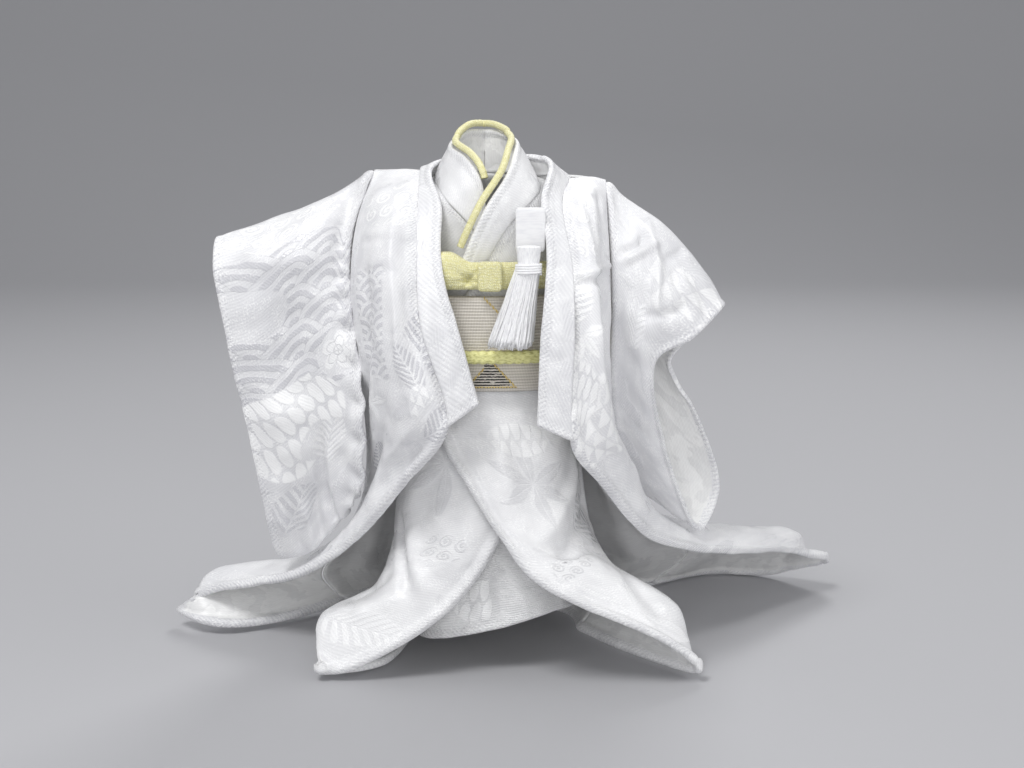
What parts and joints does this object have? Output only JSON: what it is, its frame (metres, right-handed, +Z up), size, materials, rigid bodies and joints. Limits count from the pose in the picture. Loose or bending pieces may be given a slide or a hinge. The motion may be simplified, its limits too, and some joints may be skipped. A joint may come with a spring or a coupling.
{
  "type": "doll kimono ensemble",
  "caption": "White bridal kimono ensemble at doll size, worn open: a long spread outer robe with wide sleeves, a wrapped inner kimono, a belt with sash and cord, and a tasselled case.",
  "frame": {"origin": "on the shoulder line, in the middle of the wearer's body", "axes": "+Z up; the front faces -Y; +X is the wearer's left"},
  "size_m": [0.1149, 0.0555, 0.0828],
  "materials": {
    "robe_brocade": "figured satin, softly shiny",
    "kimono_satin": "figured satin, softly shiny",
    "underskirt_satin": "shiny figured satin",
    "yellow_silk": "pale yellow silk",
    "belt_weave": "ribbed weave with a metallic figure",
    "white_silk": "smooth white silk"
  },
  "bodies": {
    "root": {"robe_front_right": "robe_brocade", "robe_front_left": "robe_brocade", "robe_back_right": "robe_brocade", "robe_back_left": "robe_brocade", "robe_collar": "robe_brocade", "robe_sleeve_right": "robe_brocade", "robe_sleeve_left": "robe_brocade", "kimono_front_right": "kimono_satin", "kimono_front_left": "kimono_satin", "kimono_back_right": "kimono_satin", "kimono_back_left": "kimono_satin", "kimono_collar": "kimono_satin", "kimono_collar_piping": "yellow_silk", "kimono_sleeve_right": "kimono_satin", "kimono_sleeve_left": "kimono_satin", "underskirt": "underskirt_satin", "obi": "belt_weave", "obi_cord": "yellow_silk", "obi_sash": "yellow_silk", "obi_sash_knot": "yellow_silk", "dagger_case": "white_silk", "tassel": "white_silk"}
  },
  "joints": []
}
